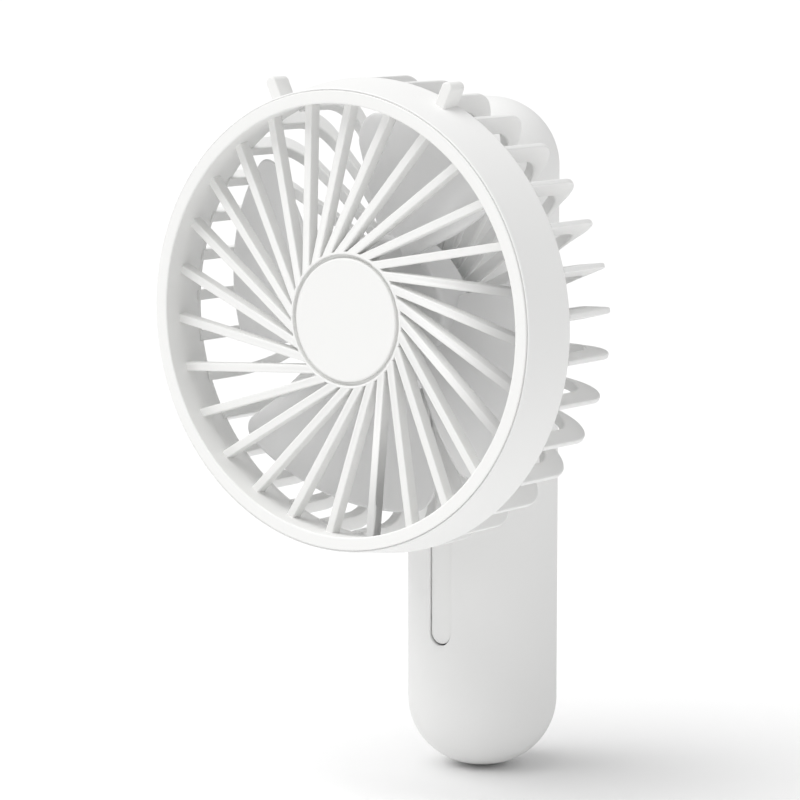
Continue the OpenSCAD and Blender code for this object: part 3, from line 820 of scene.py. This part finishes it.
@dataclass
class Impeller:
    """The hub cup and its twisted blades."""

    space: HeadSpace
    count: int = 4
    phase: float = 37.5
    span: float = 68.5
    tip: float = 40.0
    root: float = 14.9
    front: float = 10.0
    rise: float = 10.5
    thickness: float = 1.15
    front_corner: float = 4.0
    back_corner: float = 7.0
    hub_radius: float = 15.7
    hub_front: float = 14.4
    hub_back: float = 23.6
    skin: float = 1.4
    sweep: float = 14.0
    sweep_power: float = 2.5
    crown: float = 0.1
    round_off: float = 0.7
    root_thickness: float = 1.15
    tip_thickness: float = 0.75

    def build(self) -> None:
        """Makes the hub and the blades as one piece."""
        inner = self.hub_radius - self.skin
        hub = self.space.disc(
            [(0, self.hub_front, 0), (self.hub_radius, self.hub_front, 1.0),
             (self.hub_radius, self.hub_back, 0.3), (inner, self.hub_back, 0.3),
             (inner, self.hub_front + self.skin, 0.3), (0, self.hub_front + self.skin, 0)]
        )
        place(hub.plus(self._blades()), "fan_wheel", Body.ROTOR, BLADE, "impeller")

    def _drop(self, distance: Array, corner: float) -> Array:
        """How far a quarter circle draws the tip in near one corner of a blade.

        Args:
            distance: distances from the blade's edge along the tip.
            corner: the quarter circle's radius.

        Returns:
            The drop at each distance.
        """
        gap = np.clip(corner - distance, 0, corner)
        return corner - np.sqrt(corner**2 - gap**2)

    def _blades(self) -> Surface:
        """Blades as thin shells over a grid of reach and span.

        A point's radius runs from the root to the tip line, which rounds off at both corners.
        Its angle is its share of the span, and the front edge bends back towards the hub. Its
        depth rises evenly across the span with a slight crown. The thickness falls from the
        root to the tip and follows a quarter ellipse near every edge, so that the two skins
        meet in a round edge.

        Returns:
            One surface with every blade.
        """
        across = 49
        reach = np.sin(np.linspace(0, np.pi / 2, 33))[:, None]
        share = (1 - np.cos(np.linspace(0, np.pi, across))) / 2
        loop = np.concatenate([share, share[-2:0:-1]])[None, :]
        side = np.concatenate([np.ones(across), -np.ones(across - 2)])[None, :]
        arc = np.radians(self.span) * self.tip
        tip = (self.tip - self._drop(loop * arc, self.front_corner)
               - self._drop((1 - loop) * arc, self.back_corner))
        radius = self.root + reach * (tip - self.root)
        angle = loop * self.span + self.sweep * (1 - reach) ** self.sweep_power * (1 - loop)
        climb = loop + self.crown * np.sin(np.pi * loop)
        middle = self.front + self.thickness / 2 + self.rise * climb
        to_edge = np.minimum(loop, 1 - loop) * np.radians(self.span) * radius
        to_tip = tip - radius
        near = np.clip(np.minimum(to_edge, to_tip) / self.round_off, 0, 1)
        taper = self.root_thickness + (self.tip_thickness - self.root_thickness) * reach
        body = self.thickness / 2 * np.sqrt(1 - (1 - near) ** 2) * taper
        depth = middle + side * body
        polar = np.stack(np.broadcast_arrays(radius, angle, depth), -1)
        turns = self.phase + 360 / self.count * np.arange(self.count)
        copies = np.broadcast_to(polar, (self.count,) + polar.shape).copy()
        copies[..., 1] += turns[:, None, None]
        return Surface.from_grids(self.space.world(copies))


# ---------------------------------------------------------------- handle


@dataclass
class Handle:
    """The capsule handle with its slot, its back cover, its button and its port."""

    radius: float = 15.5
    top: float = 109.4
    bottom: float = -29.6
    rounding: float = 14.3
    wall: float = 1.8
    slot_width: float = 5.2
    slot_bottom: float = -2.5
    slot_top: float = 77.1
    pin_y: float = -13.1
    pin_z: float = 1.0
    pocket_radius: float = 3.72
    pocket_flat: float = 1.25
    cover_width: float = 19.0
    cover_low: float = -14.3
    cover_high: float = 94.1
    ledge_y: float = 11.3
    outside_y: float = 20.0
    seam: float = 0.15
    edge: float = 0.14
    button_z: float = 12.0
    button_hole: float = 5.2
    lens_z: float = 3.0
    lens_hole: float = 1.0
    port_z: float = -3.5
    port_reach: float = 2.85
    port_radius: float = 1.75
    screw_z: tuple[float, float] = (-11.8, 91.6)
    screw_hole: float = 0.8
    head_hole: float = 1.75
    head_seat: float = 14.1
    post_radius: float = 2.2
    post_end: float = 14.4
    beam_front: float = 8.0
    beam_back: float = 12.0
    beam_half: float = 10.2
    pad_half: float = 6.0
    pad_front: float = -14.2
    pad_low: float = -6.0
    pad_high: float = 7.0

    def capsule(self, inset: float) -> Surface:
        """The capsule drawn in by a distance all round.

        Its outline is a quarter circle at each end, of the end rounding's radius, which stops
        short of the axis at a small flat, and a straight side between them.

        Args:
            inset: the distance.

        Returns:
            The closed capsule.
        """
        bend = np.linspace(0, np.pi / 2, 33)
        corner = self.rounding - inset
        flat = self.radius - self.rounding
        low, high = self.bottom + inset + corner, self.top - inset - corner
        side = np.linspace(0, 1, 60)[1:-1]
        radius = np.concatenate([
            [0], flat + corner * np.sin(bend), np.full(58, flat + corner),
            flat + corner * np.cos(bend), [0]])
        height = np.concatenate([
            [low - corner], low - corner * np.cos(bend), low + (high - low) * side,
            high + corner * np.sin(bend), [high + corner]])
        angle = np.linspace(0, TAU, 192, endpoint=False)[None, :]
        radius, height = radius[:, None], height[:, None]
        grid = np.stack(
            np.broadcast_arrays(radius * np.cos(angle), radius * np.sin(angle), height), -1
        )
        return Surface.from_grids(grid[None])

    def slot(self) -> Surface:
        """The stadium that is cut through the front wall.

        Returns:
            The closed cutter.
        """
        middle = (self.slot_bottom + self.slot_top) / 2
        half = (self.slot_top - self.slot_bottom) / 2 - self.slot_width / 2
        plate = slab(half, self.slot_width / 2, -self.outside_y, self.pin_y + 1, CRISP)
        grid = np.stack([plate[..., 0], plate[..., 2], plate[..., 1] + middle], -1)
        return Surface.from_grids(grid[None])

    def pocket(self) -> Surface:
        """The ball-shaped hollow, flat in front, that the arm's lower end turns in.

        Returns:
            The closed cutter.
        """
        tilt = np.linspace(0, np.pi, 33)[:, None]
        angle = np.linspace(0, TAU, 64, endpoint=False)[None, :]
        grid = self.pocket_radius * np.stack(
            np.broadcast_arrays(np.cos(tilt), np.sin(tilt) * np.cos(angle),
                                np.sin(tilt) * np.sin(angle)), -1
        )
        grid[..., 1] = np.maximum(grid[..., 1], -self.pocket_flat)
        return Surface.from_grids((grid + [0, self.pin_y, self.pin_z])[None])

    def opening(self, gap: float) -> Surface:
        """The box that parts the back cover from the shell, less a gap on each side."""
        half = self.cover_width / 2 - gap
        return filled_box(
            (-half, self.ledge_y, self.cover_low + gap),
            (half, self.outside_y, self.cover_high - gap),
        )

    def port_hole(self) -> Surface:
        """The stadium-shaped hole that the charging socket shows through.

        Returns:
            The closed cutter.
        """
        plate = slab(self.port_reach, self.port_radius, self.beam_front, self.outside_y, CRISP)
        grid = np.stack([plate[..., 1], plate[..., 2], plate[..., 0] + self.port_z], -1)
        return Surface.from_grids(grid[None])

    def build(self) -> None:
        """Makes the shell, the cover and what shows through the cover."""
        self._shell()
        self._cover()
        self._screws()
        self._button()
        self._socket()

    def _shell(self) -> None:
        """The shell: a hollow capsule, a pad behind the hinge and a beam for each screw."""
        shell = self.capsule(0).piece("capsule_shell")
        combine(shell, self.capsule(self.wall), Operation.CUT)
        pad = filled_box(
            (-self.pad_half, self.pad_front, self.pad_low),
            (self.pad_half, self.pin_y, self.pad_high),
        )
        combine(shell, pad, Operation.ADD)
        for z in self.screw_z:
            beam = filled_box(
                (-self.beam_half, self.beam_front, z - self.post_radius),
                (self.beam_half, self.ledge_y, z + self.post_radius),
            )
            combine(shell, beam, Operation.ADD)
            pilot = rod_y(self.screw_hole, self.beam_front - 1, self.beam_back, 0, z, 32)
            combine(shell, pilot, Operation.CUT)
        combine(shell, self.opening(0), Operation.CUT)
        combine(shell, self.slot(), Operation.CUT)
        combine(shell, self.pocket(), Operation.CUT)
        round_edges(shell, self.edge)
        place(shell, "capsule_shell", Body.HANDLE, SHELL, "handle_shell")

    def _cover(self) -> None:
        """The back cover, with its holes and its screw posts."""
        inside, outside = self.beam_front, self.outside_y
        cover = self.capsule(0).piece("cover_plate")
        combine(cover, self.opening(self.seam), Operation.KEEP)
        combine(cover, self.capsule(self.wall), Operation.CUT)
        for z in self.screw_z:
            post = rod_y(self.post_radius, self.ledge_y, self.post_end, 0, z)
            combine(cover, post, Operation.ADD)
            combine(cover, rod_y(self.head_hole, self.head_seat, outside, 0, z), Operation.CUT)
            combine(cover, rod_y(self.screw_hole, inside, outside, 0, z), Operation.CUT)
        around_button = rod_y(self.button_hole, inside, outside, 0, self.button_z, 160)
        combine(cover, around_button, Operation.CUT)
        combine(cover, rod_y(self.lens_hole, inside, outside, 0, self.lens_z), Operation.CUT)
        combine(cover, self.port_hole(), Operation.CUT)
        round_edges(cover, self.edge)
        place(cover, "cover_plate", Body.HANDLE, SHELL, "back_cover")

    def _screws(self) -> None:
        """The cover's two screws, with a six-lobed recess in each head.

        The rows run from the recess's floor up its wall, across the head, down its side and
        along the shank. In the recess the radius swings six times round the circle.
        """
        radius = np.array([0, 0.6, 0.62, 0.7, 1.5, 1.62, 1.65, 1.65, 0.8, 0.8, 0])[:, None]
        y = np.array([14.55, 14.55, 14.6, 15.0, 15.0, 14.96, 14.85, 14.1, 14.1, 9.0, 9.0])[:, None]
        lobes = np.array([0, 1, 1, 1, 0, 0, 0, 0, 0, 0, 0])[:, None]
        angle = np.linspace(0, TAU, 72, endpoint=False)[None, :]
        reach = radius * (1 + 0.16 * lobes * np.cos(6 * angle))
        grid = np.stack(np.broadcast_arrays(reach * np.cos(angle), y, reach * np.sin(angle)), -1)
        grids = np.stack([grid + [0, 0, z] for z in self.screw_z])
        place(Surface.from_grids(grids), "cover_screw_pair", Body.HANDLE, ZINC, "cover_screws")

    def _button(self) -> None:
        """The power button: a round cap that follows the handle's curve, with a shallow dish.

        The cap's face lies on a cylinder a little wider than the handle, less a dish that is
        deepest at the centre, and turns down at its rim through a quarter circle. Below it are
        a flange and a short stem, whose rows have a radius and a level Y each.
        """
        cap, flange, stem, rim = 5.0, 6.0, 1.6, 0.35
        crown_radius, dish_radius, dish_depth = 16.0, 4.2, 0.35
        bend = np.linspace(0, np.pi / 2, 7)
        face = np.linspace(0, 4.6, 14)
        under = [cap, flange, flange, stem, stem, 0]
        under_y = np.array([12.1, 12.1, 11.5, 11.5, 11.2, 11.2])
        reach = np.concatenate([face, cap - rim + rim * np.sin(bend), under])
        angle = np.linspace(0, TAU, 128, endpoint=False)[None, :]
        x, up = reach[:, None] * np.cos(angle), reach[:, None] * np.sin(angle)
        dish = dish_depth * np.clip(1 - (reach / dish_radius) ** 2, 0, 1) ** 1.5
        drop = np.concatenate([np.zeros(face.size), rim * (1 - np.cos(bend)), np.zeros(6)])
        y = np.sqrt(crown_radius**2 - x**2) - (dish + drop)[:, None]
        y[-len(under):] = under_y[:, None]
        grid = np.stack([x, y, up + self.button_z], -1)
        place(Surface.from_grids(grid[None]), "power_cap", Body.BUTTON, BUTTON, "power_button")

    def _socket(self) -> None:
        """The charging socket: a drawn steel shell with a tongue inside.

        The shell's rows run out along its outside, over a rounded lip and back along its
        inside, and each row is the socket's outline drawn in by its inset.
        """
        half_w, half_h, mouth, base, lip = 4.45, 1.6, 14.6, 8.4, 0.08
        inset = np.array([half_h, 0, 0, 0.05, 0.25, 0.3, 0.3, half_h])
        y = np.array([base, base, mouth - lip, mouth, mouth, mouth - lip, base + 1, base + 1])
        rows = np.stack([stadium(half_w - half_h, max(half_h - i, 0)) for i in inset])
        depth = np.broadcast_to(y[:, None], rows.shape[:2])
        grid = np.stack([rows[..., 1], depth, rows[..., 0] + self.port_z], -1)
        tongue = slab(3.0, 0.35, base + 0.9, mouth - 0.9, lip)
        blade = np.stack([tongue[..., 1], tongue[..., 2], tongue[..., 0] + self.port_z], -1)
        socket = Surface.from_grids(grid[None]).plus(Surface.from_grids(blade[None]))
        place(socket, "charge_port", Body.HANDLE, SOCKET, "usb_socket")


@dataclass
class Arm:
    """The fold arm in the slot, and the neck behind the head."""

    space: HeadSpace
    width: float = 4.8
    face_y: float = -14.9
    back_y: float = -11.3
    low: float = -2.2
    high: float = 74.5
    neck_radius: float = 8.0
    neck_front: float = 31.0
    neck_back: float = 34.7
    stalk_reach: float = 1.3
    stalk_radius: float = 2.2
    stalk_front: float = -18.4
    stalk_back: float = -14.4
    bush: float = 1.25
    pin_z: float = 1.0
    groove_half: float = 1.1
    groove_low: float = 5.0

    def build(self) -> None:
        """Makes the arm as one piece, with its bore and its lead groove."""
        half = (self.high - self.low) / 2 - self.width / 2
        middle = (self.high + self.low) / 2
        plate = slab(half, self.width / 2, self.face_y, self.back_y, 0.2)
        grid = np.stack([plate[..., 0], plate[..., 2], plate[..., 1] + middle], -1)
        arm = Surface.from_grids(grid[None]).piece("arm_bar")
        z = self.space.axis_z
        bar = slab(self.stalk_reach, self.stalk_radius, self.stalk_front, self.stalk_back, 0.05)
        stalk = np.stack([bar[..., 0], bar[..., 2], bar[..., 1] + z], -1)
        combine(arm, Surface.from_grids(stalk[None]), Operation.ADD)
        neck = self.space.disc(
            [(0, self.neck_front, 0), (self.neck_radius, self.neck_front, 0.2),
             (self.neck_radius, self.neck_back, 0.8), (0, self.neck_back, 0)], 128
        )
        combine(arm, neck, Operation.ADD)
        combine(arm, self._bore(), Operation.CUT)
        groove = filled_box(
            (-self.groove_half, self.back_y - self.groove_half, self.groove_low),
            (self.groove_half, -11, z + 1),
        )
        combine(arm, groove, Operation.CUT)
        smooth(arm.data)
        place(arm, "arm_bar", Body.HEAD, SHELL, "fold_arm")

    def _bore(self) -> Surface:
        """The hole across the arm's lower end that holds its bush.

        Returns:
            The closed cutter.
        """
        rod = rod_y(self.bush, -4, 4, 0, 0, 48)
        turned = rod.points[:, [1, 0, 2]] + [0, (self.face_y + self.back_y) / 2, self.pin_z]
        return Surface(turned, rod.faces)


# ---------------------------------------------------------------- stage


@dataclass
class Studio:
    """The floor, the lights and the camera."""

    aim: tuple[float, float, float] = (1.27, -31.0, 50.12)
    azimuth: float = 35.96
    elevation: float = 7.56
    distance: float = 720.35
    lens: float = 162.58
    floor_z: float = -30.0
    floor_half: float = 12000.0
    surround: float = 0.5
    light_size: float = 450.0
    sun_energy: float = 2.2
    sun_angle: float = 60.0
    sun_way: tuple[float, float, float] = (0.25, 0.4, -0.88)

    def build(self) -> None:
        """Makes the stage."""
        self._floor()
        self._world()
        self._lights()
        self._camera()

    def _floor(self) -> None:
        """A plain pale floor just below the handle."""
        size, z = self.floor_half, self.floor_z
        corners = np.array([[-size, -size, z], [size, -size, z], [size, size, z], [-size, size, z]])
        floor = Surface(corners, np.array([[0, 1, 2, 3]])).piece("floor")
        finish = Finish("floor_paint", (0.97, 0.97, 0.97), 0.9, grain=3.0, speckle=0.002, mottle=0.001)
        dress(floor, finish)

    def _world(self) -> None:
        """An even pale surround."""
        world = bpy.data.worlds.new("surround")
        world.use_nodes = True
        bpy.context.scene.world = world
        background = world.node_tree.nodes["Background"]
        background.inputs["Color"].default_value = (1, 1, 1, 1)
        background.inputs["Strength"].default_value = self.surround

    def _lights(self) -> None:
        """A broad sun from above, and large soft lights in front and at both sides."""
        self._sun()
        self._light("key", (-250, -760, 420), 0.12)
        self._light("left", (-750, -50, 200), 0.12)
        self._light("right", (760, 60, 240), 0.22)

    def _sun(self) -> None:
        """A very wide sun, which lights the floor evenly."""
        data = bpy.data.lights.new("sky", "SUN")
        data.energy = self.sun_energy
        data.angle = np.radians(self.sun_angle)
        light = bpy.data.objects.new("sky", data)
        bpy.context.scene.collection.objects.link(light)
        light.rotation_mode = "QUATERNION"
        light.rotation_quaternion = Vector(self.sun_way).to_track_quat("-Z", "Y")

    def _light(self, name: str, spot: tuple[float, float, float], power: float) -> None:
        """One square area light that faces the object.

        Args:
            name: the light's name.
            spot: where it stands.
            power: its power in watts.
        """
        data = bpy.data.lights.new(name, "AREA")
        data.size = self.light_size * MM
        data.energy = power
        light = bpy.data.objects.new(name, data)
        bpy.context.scene.collection.objects.link(light)
        light.location = Vector(spot) * MM
        toward = Vector(self.aim) * MM - light.location
        light.rotation_mode = "QUATERNION"
        light.rotation_quaternion = toward.to_track_quat("-Z", "Y")

    def _camera(self) -> None:
        """The camera, by its azimuth, elevation and distance from the point it looks at."""
        around, up = np.radians(self.azimuth), np.radians(self.elevation)
        level = np.cos(up)
        back = Vector((np.sin(around) * level, -np.cos(around) * level, np.sin(up)))
        data = bpy.data.cameras.new("camera")
        data.lens = self.lens
        data.sensor_width = 36.0
        data.clip_start = 0.01
        data.clip_end = 50
        camera = bpy.data.objects.new("camera", data)
        bpy.context.scene.collection.objects.link(camera)
        camera.location = (Vector(self.aim) + back * self.distance) * MM
        camera.rotation_mode = "QUATERNION"
        camera.rotation_quaternion = (-back).to_track_quat("-Z", "Y")
        bpy.context.scene.camera = camera


def dress_frame() -> None:
    """Gives every CAD node the finish of its own material slot."""
    for part in frame["record"]["subparts"]:
        dress(frame["nodes"][part["node"]], FINISHES[part["material_slot"]])


def main() -> None:
    """Builds every piece in order and then the stage."""
    logging.basicConfig(level=logging.INFO, format="%(name)s: %(message)s")
    spin = next(j for j in frame["joints"] if j["name"] == "impeller_spin")
    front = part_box("front_guard")[0].y / MM
    space = HeadSpace(front_y=front, axis_z=spin["pos_m"][2] / MM)
    dress_frame()
    Duct(space).build()
    FrontGuard(space).build()
    RearGuard(space).build()
    Impeller(space).build()
    Handle().build()
    Arm(space).build()
    Studio().build()
    bpy.context.scene.view_settings.view_transform = "Standard"


if __name__ == "__main__":
    main()
